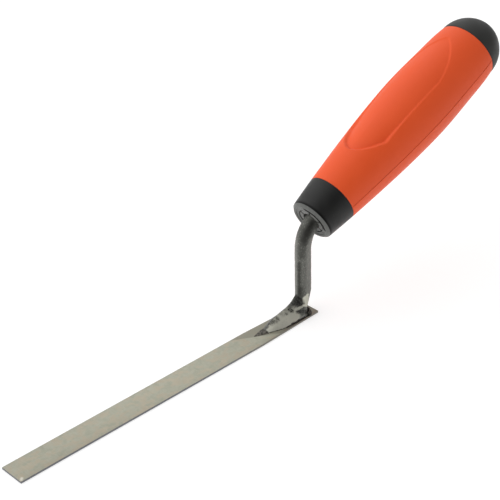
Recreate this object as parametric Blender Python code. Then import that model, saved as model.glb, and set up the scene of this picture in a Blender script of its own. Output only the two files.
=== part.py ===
"""Margin trowel: a long narrow steel blade, welded to a cranked round tang that is driven into a
two-colour moulded handle.

The origin lies on the blade's underside, straight below the upright of the tang. +X runs along the
blade to its tip, +Y is the tool's left side and +Z is up. Lengths are in metres.
"""

import math

import bmesh
import bpy
from mathutils import Vector

MM = 0.001
GAP = 0.3 * MM

# Blade: a flat strip with a square tip and a square heel.
BLADE_LENGTH = 172.7 * MM
BLADE_WIDTH = 13.0 * MM
BLADE_THICKNESS = 1.0 * MM
BLADE_HEEL_X = -4.9 * MM
BLADE_HEEL_WIDTH = 10.4 * MM
BLADE_TAPER_X = 33.0 * MM
BLADE_EDGE_BEVEL = 0.15 * MM

# Tang: an upright round bar that bends back into the handle and tapers to a blunt tail.
TANG_RADIUS = 3.75 * MM
TANG_BEND_RADIUS = 16.0 * MM
TANG_STRAIGHT_END = 30.0 * MM
TANG_TAIL_END = 78.0 * MM
TANG_TAIL_RADIUS = 2.2 * MM
TANG_SEGMENTS = 20
HEEL_RELIEF_TOP = 11.0 * MM
HEEL_RELIEF_SLOPE = 0.25

# Foot: the flattened end of the tang, forged forward along the blade. Each station holds its place
# along the blade, its half width and its height.
FOOT_BASE = BLADE_THICKNESS + GAP
FOOT_RIDGE_SHIFT = -1.0 * MM
FOOT_STATIONS = (
    (-1.7 * MM, 1.2 * MM, 3.0 * MM),
    (-1.1 * MM, 2.5 * MM, 5.0 * MM),
    (0.4 * MM, 4.0 * MM, 8.5 * MM),
    (3.2 * MM, 4.6 * MM, 11.0 * MM),
    (4.6 * MM, 4.7 * MM, 9.4 * MM),
    (6.8 * MM, 4.7 * MM, 7.2 * MM),
    (10.2 * MM, 4.7 * MM, 5.6 * MM),
    (14.6 * MM, 4.5 * MM, 4.5 * MM),
    (18.9 * MM, 4.0 * MM, 3.5 * MM),
    (22.0 * MM, 3.2 * MM, 2.0 * MM),
    (25.2 * MM, 2.2 * MM, 0.7 * MM),
)
FOOT_ARC_POINTS = 11

# Welds between the foot and the blade.
WELD_HEIGHT = 1.5 * MM
WELD_WIDTH = 1.05 * MM
HEEL_WELD_CENTRE_X = 2.0 * MM
HEEL_WELD_SEMI_X = 4.25 * MM
HEEL_WELD_SEMI_Y = 4.95 * MM
HEEL_WELD_SWEEP = math.radians(160)
SIDE_WELD_START_X = 3.6 * MM
SIDE_WELD_END_X = 15.4 * MM
SIDE_WELD_Y = 5.05 * MM
TOE_WELD_STATIONS = (
    (25.6 * MM, 2.2 * MM, 0.9 * MM),
    (28.0 * MM, 1.5 * MM, 0.6 * MM),
    (31.4 * MM, 0.4 * MM, 0.25 * MM),
)

# Handle: turned about its own axis, which starts at the centre of the collar's front face.
HANDLE_ANGLE = math.radians(25.0)
HANDLE_FRONT = Vector((-5.6 * MM, 0.0, 47.4 * MM))
HANDLE_SEGMENTS = 36
HANDLE_OUTLINE = (
    (0.0 * MM, 10.9 * MM),
    (15.0 * MM, 12.74 * MM),
    (40.0 * MM, 15.25 * MM),
    (60.0 * MM, 16.75 * MM),
    (79.0 * MM, 17.45 * MM),
    (100.0 * MM, 16.8 * MM),
    (112.0 * MM, 16.25 * MM),
    (118.3 * MM, 15.55 * MM),
)
COLLAR_LENGTH = 15.0 * MM
COLLAR_RIM_RADIUS = 0.8 * MM
GRIP_END = 118.0 * MM
CAP_LENGTH = 16.8 * MM
CAP_ROUNDS = 8
CAP_TAPER_POWER = 1.1
MANDREL_FRONT_RADIUS = 9.8 * MM
MANDREL_REAR_RADIUS = 12.2 * MM
CORE_BORE_RADIUS = 4.6 * MM
SPIGOT_RADIUS = 8.0 * MM
SPIGOT_LENGTH = 14.0 * MM
SPIGOT_CHAMFER = 0.8 * MM

# Socket: a slotted liner in the mouth of the collar that grips the tang.
SOCKET_FRONT = 0.8 * MM
SOCKET_END = 14.0 * MM
SOCKET_OUTER_RADIUS = 7.2 * MM
SOCKET_INNER_RADIUS = 4.6 * MM
SOCKET_SLOT_WIDTH = 1.8 * MM
SOCKET_SLOT_REACH = 6.3 * MM
SOCKET_SLOT_DEPTH = 5.0 * MM

# Thumb panel: a shallow recess along the top of the grip. Each station holds its place along the
# handle, the half angle that it spans and its depth.
PANEL_STATIONS = (
    (34.0 * MM, math.radians(6.0), 0.70 * MM),
    (36.5 * MM, math.radians(22.0), 0.70 * MM),
    (40.0 * MM, math.radians(33.0), 0.70 * MM),
    (46.5 * MM, math.radians(45.5), 0.60 * MM),
    (60.0 * MM, math.radians(43.0), 0.50 * MM),
    (75.0 * MM, math.radians(42.5), 0.42 * MM),
    (86.5 * MM, math.radians(43.5), 0.35 * MM),
    (98.0 * MM, math.radians(32.5), 0.30 * MM),
    (107.0 * MM, math.radians(13.0), 0.30 * MM),
    (110.0 * MM, math.radians(3.0), 0.30 * MM),
)
PANEL_COLUMNS = 9
CUTTER_MARGIN = 2.0 * MM

STEEL = ("blade_steel", (0.42, 0.41, 0.34), 0.38, 0.9)
FORGED = ("forged_steel", (0.12, 0.12, 0.11), 0.55, 0.8)
WELD = ("weld_metal", (0.07, 0.07, 0.06), 0.6, 0.8)
BLACK = ("black_plastic", (0.02, 0.02, 0.02), 0.45, 0.0)
GREY = ("grey_plastic", (0.16, 0.16, 0.15), 0.5, 0.0)
ORANGE = ("orange_grip", (0.82, 0.13, 0.045), 0.5, 0.0)


def clear_scene():
    for old in list(bpy.data.objects):
        bpy.data.objects.remove(old, do_unlink=True)


def make_material(name, colour, roughness, metallic):
    """A plain Principled BSDF, shared by all the pieces that ask for it."""
    found = bpy.data.materials.get(name)
    if found:
        return found
    made = bpy.data.materials.new(name)
    made.use_nodes = True
    shader = made.node_tree.nodes["Principled BSDF"]
    shader.inputs["Base Color"].default_value = (*colour, 1.0)
    shader.inputs["Roughness"].default_value = roughness
    shader.inputs["Metallic"].default_value = metallic
    made.diffuse_color = (*colour, 1.0)
    return made


def add_piece(name, bm, finish, parent=None):
    """Turns a finished bmesh into a named object with its material."""
    bmesh.ops.recalc_face_normals(bm, faces=bm.faces)
    mesh = bpy.data.meshes.new(name)
    bm.to_mesh(mesh)
    bm.free()
    mesh.shade_smooth()
    mesh.set_sharp_from_angle(angle=math.radians(35))
    mesh.materials.append(make_material(*finish))
    piece = bpy.data.objects.new(name, mesh)
    piece.parent = parent
    bpy.context.scene.collection.objects.link(piece)
    return piece


def add_boolean(piece, tool, operation):
    """Cuts or joins with another object, which is then only a guide."""
    tool.hide_render = True
    tool.display_type = "WIRE"
    modifier = piece.modifiers.new(tool.name, "BOOLEAN")
    modifier.operation = operation
    modifier.solver = "EXACT"
    modifier.object = tool


def lofted(loops):
    """A closed body through loops of points that all hold the same number of points."""
    bm = bmesh.new()
    rings = [[bm.verts.new(point) for point in loop] for loop in loops]
    count = len(rings[0])
    for lower, upper in zip(rings, rings[1:]):
        for i in range(count):
            j = (i + 1) % count
            bm.faces.new((lower[i], lower[j], upper[j], upper[i]))
    bm.faces.new(rings[0])
    bm.faces.new(rings[-1])
    return bm


def turned(profile, segments=HANDLE_SEGMENTS):
    """A closed profile of (height, radius) points, turned about the Z axis."""
    bm = bmesh.new()
    verts = [bm.verts.new((radius, 0.0, height)) for height, radius in profile]
    for first, second in zip(verts, verts[1:] + verts[:1]):
        if first.co.x > 0.0 or second.co.x > 0.0:
            bm.edges.new((first, second))
    bmesh.ops.spin(
        bm,
        geom=bm.verts[:] + bm.edges[:],
        axis=(0.0, 0.0, 1.0),
        cent=(0.0, 0.0, 0.0),
        angle=2.0 * math.pi,
        steps=segments,
        use_merge=True,
    )
    bmesh.ops.remove_doubles(bm, verts=bm.verts, dist=1e-6)
    return bm


def smooth_value(points, at):
    """Reads a smooth curve through (place, value) points, with a slope taken from the neighbours."""
    last = len(points) - 1
    index = 0
    while index < last - 1 and at > points[index + 1][0]:
        index += 1
    x0, y0 = points[index]
    x1, y1 = points[index + 1]

    def slope(i):
        before = points[max(i - 1, 0)]
        after = points[min(i + 1, last)]
        return (after[1] - before[1]) / (after[0] - before[0])

    span = x1 - x0
    t = (at - x0) / span
    value = (2 * t**3 - 3 * t**2 + 1) * y0 + (3 * t**2 - 2 * t**3) * y1
    value += (t**3 - 2 * t**2 + t) * span * slope(index)
    value += (t**3 - t**2) * span * slope(index + 1)
    return value


def handle_radius(s):
    return smooth_value(HANDLE_OUTLINE, s)


def steps(start, end, count):
    return [start + (end - start) * i / count for i in range(count + 1)]


def build_blade():
    """A strip drawn in a little towards its heel, with worn edges."""
    tip_x = BLADE_HEEL_X + BLADE_LENGTH
    left = [(tip_x, BLADE_WIDTH / 2), (BLADE_TAPER_X, BLADE_WIDTH / 2), (BLADE_HEEL_X, BLADE_HEEL_WIDTH / 2)]
    right = [(x, -y) for x, y in reversed(left)]
    bm = bmesh.new()
    bottom = bm.faces.new([bm.verts.new((x, y, 0.0)) for x, y in left + right])
    risen = bmesh.ops.extrude_face_region(bm, geom=[bottom])
    top = [v for v in risen["geom"] if isinstance(v, bmesh.types.BMVert)]
    bmesh.ops.translate(bm, vec=(0.0, 0.0, BLADE_THICKNESS), verts=top)
    bmesh.ops.recalc_face_normals(bm, faces=bm.faces)
    blade = add_piece("blade", bm, STEEL)
    bevel = blade.modifiers.new("worn_edges", "BEVEL")
    bevel.width = BLADE_EDGE_BEVEL
    bevel.segments = 1
    bevel.limit_method = "ANGLE"


def upright_ring(z):
    """A level ring of the upright, set back at the heel where its lowest part is ground away."""
    relief = max(0.0, HEEL_RELIEF_TOP - z) * HEEL_RELIEF_SLOPE
    half_length = TANG_RADIUS - relief / 2
    ring = []
    for i in range(TANG_SEGMENTS):
        angle = 2.0 * math.pi * i / TANG_SEGMENTS
        x = relief / 2 + half_length * math.cos(angle)
        ring.append(Vector((x, TANG_RADIUS * math.sin(angle), z)))
    return ring


def slanted_ring(centre, tilt, radius):
    """A round ring whose normal leans back from +Z by the tilt."""
    outward = Vector((math.cos(tilt), 0.0, math.sin(tilt)))
    ring = []
    for i in range(TANG_SEGMENTS):
        angle = 2.0 * math.pi * i / TANG_SEGMENTS
        offset = outward * math.cos(angle) + Vector((0.0, 1.0, 0.0)) * math.sin(angle)
        ring.append(centre + offset * radius)
    return ring


def tang_loops():
    """The upright, the bend into the handle's axis and the tail along it."""
    turn = math.pi / 2 - HANDLE_ANGLE
    direction = Vector((-math.cos(HANDLE_ANGLE), 0.0, math.sin(HANDLE_ANGLE)))
    corner_s = HANDLE_FRONT.x / math.cos(HANDLE_ANGLE)
    corner = HANDLE_FRONT + direction * corner_s
    leg = TANG_BEND_RADIUS * math.tan(turn / 2)
    bend_start = corner.z - leg
    loops = [upright_ring(z) for z in steps(FOOT_BASE, HEEL_RELIEF_TOP, 3)]
    loops += [upright_ring(z) for z in steps(HEEL_RELIEF_TOP, bend_start, 3)[1:-1]]
    for tilt in steps(0.0, turn, 8):
        x = TANG_BEND_RADIUS * (math.cos(tilt) - 1.0)
        z = bend_start + TANG_BEND_RADIUS * math.sin(tilt)
        loops.append(slanted_ring(Vector((x, 0.0, z)), tilt, TANG_RADIUS))
    for s, radius in ((TANG_STRAIGHT_END, TANG_RADIUS), (TANG_TAIL_END, TANG_TAIL_RADIUS)):
        loops.append(slanted_ring(HANDLE_FRONT + direction * s, turn, radius))
    return loops


def foot_loop(x, half_width, height):
    """A section across the foot: flat below, and rounded above with its ridge off centre."""
    loop = []
    for angle in steps(0.0, math.pi, FOOT_ARC_POINTS - 1):
        rise = max(0.0, math.sin(angle))
        y = half_width * math.cos(angle) + FOOT_RIDGE_SHIFT * rise
        loop.append(Vector((x, y, FOOT_BASE + height * rise**0.75)))
    return loop


def build_tang():
    tang = add_piece("tang", lofted(tang_loops()), FORGED)
    foot = add_piece("tang_foot_guide", lofted([foot_loop(*row) for row in FOOT_STATIONS]), FORGED)
    add_boolean(tang, foot, "UNION")


def weld_bead(name, path):
    """A fillet along a path of (point, outward direction) pairs on top of the blade."""
    loops = []
    for point, outward in path:
        loops.append(
            [
                point,
                point + outward * WELD_WIDTH,
                point + outward * WELD_WIDTH * 0.55 + Vector((0.0, 0.0, WELD_HEIGHT * 0.62)),
                point + Vector((0.0, 0.0, WELD_HEIGHT)),
            ]
        )
    add_piece(name, lofted(loops), WELD)


def build_welds():
    level = BLADE_THICKNESS + GAP
    heel = []
    for angle in steps(math.pi - HEEL_WELD_SWEEP / 2, math.pi + HEEL_WELD_SWEEP / 2, 12):
        x = HEEL_WELD_CENTRE_X + HEEL_WELD_SEMI_X * math.cos(angle)
        y = HEEL_WELD_SEMI_Y * math.sin(angle)
        outward = Vector((math.cos(angle), math.sin(angle), 0.0))
        heel.append((Vector((x, y, level)), outward))
    weld_bead("heel_weld", heel)
    for name, side in (("left_side_weld", 1.0), ("right_side_weld", -1.0)):
        path = []
        for x in steps(SIDE_WELD_START_X, SIDE_WELD_END_X, 4):
            path.append((Vector((x, side * SIDE_WELD_Y, level)), Vector((0.0, side, 0.0))))
        weld_bead(name, path)
    toe = []
    for x, half_width, height in TOE_WELD_STATIONS:
        across = [-half_width, half_width, half_width * 0.6, -half_width * 0.6]
        above = [0.0, 0.0, height, height]
        toe.append([Vector((x, y, level + z)) for y, z in zip(across, above)])
    add_piece("toe_weld", lofted(toe), WELD)


def mandrel_radius(s):
    share = (s - COLLAR_LENGTH) / (GRIP_END - COLLAR_LENGTH)
    return MANDREL_FRONT_RADIUS + share * (MANDREL_REAR_RADIUS - MANDREL_FRONT_RADIUS)


def build_handle_core(axis):
    """The black collar and the mandrel behind it, bored for the tang, the socket and the cap."""
    rim = handle_radius(0.0)
    counterbore_end = SOCKET_END + GAP
    socket_clearance = SOCKET_OUTER_RADIUS + GAP
    spigot_clearance = SPIGOT_RADIUS + GAP
    spigot_seat = HANDLE_OUTLINE[-1][0] - SPIGOT_LENGTH - GAP
    profile = [(0.0, rim - COLLAR_RIM_RADIUS)]
    profile.append((COLLAR_RIM_RADIUS * 0.3, rim - COLLAR_RIM_RADIUS * 0.3))
    profile += [(s, handle_radius(s)) for s in steps(COLLAR_RIM_RADIUS, COLLAR_LENGTH, 3)]
    profile.append((COLLAR_LENGTH, mandrel_radius(COLLAR_LENGTH)))
    profile.append((GRIP_END, mandrel_radius(GRIP_END)))
    profile.append((GRIP_END, spigot_clearance))
    profile.append((spigot_seat, spigot_clearance))
    profile.append((spigot_seat, CORE_BORE_RADIUS))
    profile.append((counterbore_end, CORE_BORE_RADIUS))
    profile.append((counterbore_end, socket_clearance))
    profile.append((0.0, socket_clearance))
    add_piece("handle_core", turned(profile), BLACK, axis)


def build_tang_socket(axis):
    """The liner, with a cross of slots cut into its front around the tang."""
    profile = [
        (SOCKET_FRONT, SOCKET_INNER_RADIUS),
        (SOCKET_FRONT, SOCKET_OUTER_RADIUS),
        (SOCKET_END, SOCKET_OUTER_RADIUS),
        (SOCKET_END, SOCKET_INNER_RADIUS),
    ]
    socket = add_piece("tang_socket", turned(profile), GREY, axis)
    for name, along_top in (("slot_cut_across", False), ("slot_cut_upright", True)):
        bm = bmesh.new()
        bmesh.ops.create_cube(bm, size=1.0)
        size = (SOCKET_SLOT_WIDTH, 2 * SOCKET_SLOT_REACH, 2 * SOCKET_SLOT_DEPTH)
        if along_top:
            size = (2 * SOCKET_SLOT_REACH, SOCKET_SLOT_WIDTH, 2 * SOCKET_SLOT_DEPTH)
        bmesh.ops.scale(bm, vec=size, verts=bm.verts)
        bmesh.ops.translate(bm, vec=(0.0, 0.0, SOCKET_FRONT), verts=bm.verts)
        add_boolean(socket, add_piece(name, bm, GREY, axis), "DIFFERENCE")


def panel_loop(s, half_angle, depth):
    """One station of the thumb panel's cutter: an arc in the grip and another outside it."""
    loop = []
    inner = handle_radius(s) - depth
    outer = handle_radius(s) + CUTTER_MARGIN
    angles = steps(-half_angle, half_angle, PANEL_COLUMNS - 1)
    for radius, turns in ((inner, angles), (outer, angles[::-1])):
        loop += [Vector((radius * math.cos(a), radius * math.sin(a), s)) for a in turns]
    return loop


def build_grip_sleeve(axis):
    """The orange sleeve over the mandrel, with the thumb panel let into its top."""
    front = COLLAR_LENGTH + GAP
    profile = [(s, handle_radius(s)) for s in steps(front, GRIP_END, 14)]
    profile.append((GRIP_END, mandrel_radius(GRIP_END) + GAP))
    profile.append((front, mandrel_radius(front) + GAP))
    sleeve = add_piece("grip_sleeve", turned(profile), ORANGE, axis)
    panel = add_piece("panel_cut", lofted([panel_loop(*row) for row in PANEL_STATIONS]), ORANGE, axis)
    add_boolean(sleeve, panel, "DIFFERENCE")


def build_butt_cap(axis):
    """The black dome at the end of the handle, with the spigot that plugs it into the core."""
    rim_s, rim_radius = HANDLE_OUTLINE[-1]
    spigot_end = rim_s - SPIGOT_LENGTH
    profile = [(spigot_end, 0.0)]
    profile.append((spigot_end, SPIGOT_RADIUS - SPIGOT_CHAMFER))
    profile.append((spigot_end + SPIGOT_CHAMFER, SPIGOT_RADIUS))
    profile.append((rim_s, SPIGOT_RADIUS))
    for turn in steps(0.0, math.pi / 2, CAP_ROUNDS):
        s = rim_s + CAP_LENGTH * math.sin(turn)
        radius = rim_radius * max(0.0, math.cos(turn)) ** CAP_TAPER_POWER
        profile.append((s, radius if turn < math.pi / 2 - 1e-6 else 0.0))
    add_piece("butt_cap", turned(profile), BLACK, axis)


def build_handle():
    axis = bpy.data.objects.new("handle_axis", None)
    axis.location = HANDLE_FRONT
    axis.rotation_euler = (0.0, HANDLE_ANGLE - math.pi / 2, 0.0)
    bpy.context.scene.collection.objects.link(axis)
    build_handle_core(axis)
    build_tang_socket(axis)
    build_grip_sleeve(axis)
    build_butt_cap(axis)


def main():
    clear_scene()
    build_blade()
    build_tang()
    build_welds()
    build_handle()


main()
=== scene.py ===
import math

import bmesh
import bpy
import numpy as np
from mathutils import Matrix, Vector, noise


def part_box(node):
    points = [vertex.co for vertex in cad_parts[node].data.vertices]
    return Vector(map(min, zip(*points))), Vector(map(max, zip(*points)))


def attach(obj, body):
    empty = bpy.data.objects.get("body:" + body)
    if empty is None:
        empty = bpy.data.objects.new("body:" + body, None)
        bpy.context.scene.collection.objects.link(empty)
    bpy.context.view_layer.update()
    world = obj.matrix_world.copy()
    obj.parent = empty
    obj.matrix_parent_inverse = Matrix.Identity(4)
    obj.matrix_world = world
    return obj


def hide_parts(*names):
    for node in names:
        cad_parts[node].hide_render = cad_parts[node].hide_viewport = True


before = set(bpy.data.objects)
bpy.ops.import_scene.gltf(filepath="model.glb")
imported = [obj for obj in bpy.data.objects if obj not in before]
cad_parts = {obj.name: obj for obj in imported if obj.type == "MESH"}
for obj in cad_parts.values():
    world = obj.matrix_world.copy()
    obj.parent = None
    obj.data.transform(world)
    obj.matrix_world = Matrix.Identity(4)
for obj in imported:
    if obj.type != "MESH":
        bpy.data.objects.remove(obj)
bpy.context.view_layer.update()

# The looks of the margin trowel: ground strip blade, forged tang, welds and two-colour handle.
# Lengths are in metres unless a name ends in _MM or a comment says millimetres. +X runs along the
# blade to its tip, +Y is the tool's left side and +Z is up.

MM = 0.001

# ---------------------------------------------------------------- places taken from the frame
BLADE_LOW, BLADE_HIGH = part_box("blade")
BLADE_TOP = BLADE_HIGH.z
HALF_WIDTH = BLADE_HIGH.y

# ---------------------------------------------------------------- the handle's own frame
# A place on the handle is s along its axis from HANDLE_FRONT, an angle round from its top towards
# its left, and a radius.
HANDLE_ANGLE = math.radians(25.0)
HANDLE_FRONT = Vector((-5.6 * MM, 0.0, 47.4 * MM))
ALONG = Vector((-math.cos(HANDLE_ANGLE), 0.0, math.sin(HANDLE_ANGLE)))
TOP = Vector((math.sin(HANDLE_ANGLE), 0.0, math.cos(HANDLE_ANGLE)))
LEFT = Vector((0.0, 1.0, 0.0))
HANDLE_OUTLINE = (
    (0.0 * MM, 10.9 * MM),
    (15.0 * MM, 12.74 * MM),
    (40.0 * MM, 15.25 * MM),
    (60.0 * MM, 16.75 * MM),
    (79.0 * MM, 17.45 * MM),
    (100.0 * MM, 16.8 * MM),
    (112.0 * MM, 16.25 * MM),
    (118.3 * MM, 15.55 * MM),
)
COLLAR_LENGTH = 15.0 * MM
RECESS_FLOOR = -0.5 * MM
CAP_START = 118.2 * MM
CAP_LENGTH = 16.8 * MM
CAP_TAPER_POWER = 1.1


def smooth_value(points, at):
    """Reads a smooth curve through (place, value) points, for a number or an array."""
    xs = np.array([p[0] for p in points])
    ys = np.array([p[1] for p in points])
    last = len(xs) - 1
    before = np.maximum(np.arange(len(xs)) - 1, 0)
    after = np.minimum(np.arange(len(xs)) + 1, last)
    slopes = (ys[after] - ys[before]) / (xs[after] - xs[before])
    at = np.asarray(at, float)
    i = np.clip(np.searchsorted(xs, at, side="right") - 1, 0, last - 1)
    span = xs[i + 1] - xs[i]
    t = (at - xs[i]) / span
    value = (2 * t**3 - 3 * t**2 + 1) * ys[i] + (3 * t**2 - 2 * t**3) * ys[i + 1]
    value += (t**3 - 2 * t**2 + t) * span * slopes[i]
    value += (t**3 - t**2) * span * slopes[i + 1]
    return value


def handle_radius(s):
    """The handle's outer radius at a place along it."""
    return smooth_value(HANDLE_OUTLINE, s)


def handle_points(s, angle, radius):
    """World points on the handle, from arrays of place along it, angle from its top and radius."""
    s, angle, radius = np.broadcast_arrays(s, angle, radius)
    centre = np.array(HANDLE_FRONT) + s[..., None] * np.array(ALONG)
    outward = np.cos(angle)[..., None] * np.array(TOP) + np.sin(angle)[..., None] * np.array(LEFT)
    return centre + radius[..., None] * outward


def handle_matrix(s, angle, radius=0.0):
    """Axes on the handle: X outward, Y round it and Z along it."""
    outward = TOP * math.cos(angle) + LEFT * math.sin(angle)
    around = ALONG.cross(outward)
    made = Matrix((outward, around, ALONG)).transposed().to_4x4()
    made.translation = HANDLE_FRONT + ALONG * s + outward * radius
    return made


def smoothstep(low, high, value):
    """0 up to the low value, 1 from the high one on, and a smooth rise between them."""
    t = np.clip((value - low) / (high - low), 0.0, 1.0)
    return t * t * (3.0 - 2.0 * t)


def steps(start, end, count):
    """The numbers that cut start to end into count even steps, both ends included."""
    return [start + (end - start) * i / count for i in range(count + 1)]


# ---------------------------------------------------------------- node trees
class Nodes:
    """Short ways to add nodes to one shader tree."""

    def __init__(self, tree):
        self.tree = tree

    def node(self, kind, **settings):
        made = self.tree.nodes.new(kind)
        for key, value in settings.items():
            setattr(made, key, value)
        return made

    def plug(self, value, socket):
        """Links a socket, or sets a constant straight on it."""
        if isinstance(value, bpy.types.NodeSocket):
            self.tree.links.new(value, socket)
        elif isinstance(value, tuple) and len(value) == 3 and len(socket.default_value) == 4:
            socket.default_value = (*value, 1.0)
        else:
            socket.default_value = value

    def math(self, operation, first, second=0.0, clamp=False):
        made = self.node("ShaderNodeMath", operation=operation, use_clamp=clamp)
        self.plug(first, made.inputs[0])
        self.plug(second, made.inputs[1])
        return made.outputs["Value"]

    def vector(self, operation, first, second=None):
        made = self.node("ShaderNodeVectorMath", operation=operation)
        self.plug(first, made.inputs[0])
        if second is not None:
            self.plug(second, made.inputs[1])
        scalar = operation in ("DOT_PRODUCT", "LENGTH")
        return made.outputs["Value" if scalar else "Vector"]


class Shader(Nodes):
    """Builds one node material around a Principled BSDF. Noise scales are in features per metre."""

    def __init__(self, name, roughness=0.5, metallic=0.0, specular=0.5):
        self.material = bpy.data.materials.new(name)
        self.material.use_nodes = True
        super().__init__(self.material.node_tree)
        self.bsdf = self.tree.nodes["Principled BSDF"]
        self.bsdf.inputs["Roughness"].default_value = roughness
        self.bsdf.inputs["Metallic"].default_value = metallic
        self.bsdf.inputs["Specular IOR Level"].default_value = specular
        self.place = self.node("ShaderNodeTexCoord").outputs["Object"]

    def stretched(self, scale, turn=(0.0, 0.0, 0.0), offset=(0.0, 0.0, 0.0)):
        """The object's own coordinates, scaled, turned and shifted."""
        made = self.node("ShaderNodeMapping")
        self.plug(self.place, made.inputs["Vector"])
        made.inputs["Scale"].default_value = scale
        made.inputs["Rotation"].default_value = turn
        made.inputs["Location"].default_value = offset
        return made.outputs["Vector"]

    def noise(self, scale, detail=4.0, roughness=0.55, place=None, distortion=0.0):
        made = self.node("ShaderNodeTexNoise")
        self.plug(place or self.place, made.inputs["Vector"])
        made.inputs["Scale"].default_value = scale
        made.inputs["Detail"].default_value = detail
        made.inputs["Roughness"].default_value = roughness
        made.inputs["Distortion"].default_value = distortion
        return made.outputs["Fac"]

    def fade(self, value, low, high, to_low=0.0, to_high=1.0):
        """Reads a value between low and high as a smooth change from to_low to to_high."""
        made = self.node("ShaderNodeMapRange", interpolation_type="SMOOTHSTEP")
        self.plug(value, made.inputs["Value"])
        made.inputs["From Min"].default_value = low
        made.inputs["From Max"].default_value = high
        made.inputs["To Min"].default_value = to_low
        made.inputs["To Max"].default_value = to_high
        return made.outputs["Result"]

    def mix(self, amount, first, second):
        """Goes from the first colour to the second. Sockets 6, 7 and 2 are the node's colour ones."""
        made = self.node("ShaderNodeMix", data_type="RGBA")
        self.plug(amount, made.inputs["Factor"])
        self.plug(first, made.inputs[6])
        self.plug(second, made.inputs[7])
        return made.outputs[2]

    def scaled(self, value, factor):
        return self.math("MULTIPLY", value, factor)

    def wobble(self, field, width):
        """Turns a noise field into a signed length, to roughen an edge. The width is its full range."""
        return self.scaled(self.math("SUBTRACT", field, 0.5), width)

    def axis(self, letter):
        made = self.node("ShaderNodeSeparateXYZ")
        self.plug(self.place, made.inputs["Vector"])
        return made.outputs[letter]

    def along(self, direction, origin=(0.0, 0.0, 0.0)):
        """Signed distance in metres from a plane through the origin, across the direction."""
        offset = self.vector("SUBTRACT", self.place, Vector(origin))
        return self.vector("DOT_PRODUCT", offset, Vector(direction).normalized())

    def near_line(self, start, end, inner, outer, wobble=None):
        """1 close to the line between two points and 0 away from it, roughened by the wobble."""
        run = end - start
        offset = self.vector("SUBTRACT", self.place, start)
        share = self.math("DIVIDE", self.vector("DOT_PRODUCT", offset, run), run.dot(run), clamp=True)
        reached = self.node("ShaderNodeVectorMath", operation="SCALE")
        reached.inputs[0].default_value = run
        self.plug(share, reached.inputs["Scale"])
        distance = self.vector("LENGTH", self.vector("SUBTRACT", offset, reached.outputs["Vector"]))
        if wobble is not None:
            distance = self.math("ADD", distance, wobble)
        return self.fade(distance, inner, outer, 1.0, 0.0)

    def facing(self, direction, low, high):
        """1 where the surface faces a direction, fading to 0 as it turns away."""
        normal = self.node("ShaderNodeNewGeometry").outputs["Normal"]
        return self.fade(self.vector("DOT_PRODUCT", normal, Vector(direction).normalized()), low, high)

    def bump(self, height, strength, distance, normal=None):
        made = self.node("ShaderNodeBump")
        self.plug(height, made.inputs["Height"])
        made.inputs["Strength"].default_value = strength
        made.inputs["Distance"].default_value = distance
        if normal is not None:
            self.plug(normal, made.inputs["Normal"])
        return made.outputs["Normal"]

    def finish(self, colour, roughness=None, normal=None):
        self.plug(colour, self.bsdf.inputs["Base Color"])
        if roughness is not None:
            self.plug(roughness, self.bsdf.inputs["Roughness"])
        if normal is not None:
            self.plug(normal, self.bsdf.inputs["Normal"])
        return self.material


# ---------------------------------------------------------------- handle materials
def orange_rubber():
    """Soft-touch overmould: satin, with a faint flow mottle, a very fine grain and parting lines darkened
    with painted shade.
    """
    made = Shader("orange_rubber", roughness=0.5, specular=0.25)
    flow = made.noise(90.0, detail=3.0, place=made.stretched((1.0, 1.6, 1.0)))
    dust = made.noise(1400.0, detail=2.0)
    colour = made.mix(flow, (0.83, 0.093, 0.019), (0.88, 0.106, 0.025))
    colour = made.mix(made.fade(dust, 0.62, 0.80, 0.0, 0.06), colour, (0.92, 0.24, 0.13))
    # Painted shade: the parting-line grooves on the handle's two sides are painted dark.
    from_parting = made.math("ABSOLUTE", made.along(TOP, HANDLE_FRONT))
    parting_painted_shade = made.fade(from_parting, 0.08 * MM, 0.26 * MM, 0.42, 0.0)
    colour = made.mix(parting_painted_shade, colour, (0.30, 0.030, 0.010))
    rough = made.fade(flow, 0.3, 0.7, 0.46, 0.55)
    grain = made.noise(5200.0, detail=2.0)
    normal = made.bump(grain, 0.10, 0.03 * MM)
    normal = made.bump(made.noise(260.0, detail=2.0), 0.10, 0.15 * MM, normal)
    return made.finish(colour, rough, normal)


COLLAR_FACE_END = (0.15 * MM, 0.45 * MM)
COLLAR_PAINTED_SHADE_BAND = (0.5 * MM, 2.2 * MM)
FACE_SHADE_RADIUS = 8.2 * MM
FACE_SHADE_WIDTH = (0.8 * MM, 1.35 * MM)
# The painted shade on the collar's face is an arc of straight pieces, in degrees from the handle's top.
FACE_SHADE_STEP = 20
FACE_SHADE_STARTS = range(0, 100, FACE_SHADE_STEP)


def black_plastic(name="black_plastic", lightness=0.008, roughness=0.44):
    """Hard plastic with a fine texture and a few pale scuffs. The collar's front face is painted pale grey
    as a painted reflection.
    """
    made = Shader(name, roughness=roughness, specular=0.33)
    cloud = made.noise(160.0, detail=4.0)
    scuff = made.noise(700.0, detail=3.0, place=made.stretched((1.0, 0.25, 1.0), (0.3, 0.4, 0.2)))
    dark = (0.8 * lightness, 0.82 * lightness, 0.76 * lightness)
    pale = (1.25 * lightness, 1.27 * lightness, 1.18 * lightness)
    colour = made.mix(cloud, dark, pale)
    colour = made.mix(made.fade(scuff, 0.66, 0.78, 0.0, 0.3), colour, (0.045, 0.045, 0.042))
    colour = collar_face(made, colour)
    rough = made.fade(cloud, 0.3, 0.7, roughness - 0.04, roughness + 0.08)
    grain = made.noise(4200.0, detail=2.0, roughness=0.6)
    return made.finish(colour, rough, made.bump(grain, 0.16, 0.04 * MM))


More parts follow.
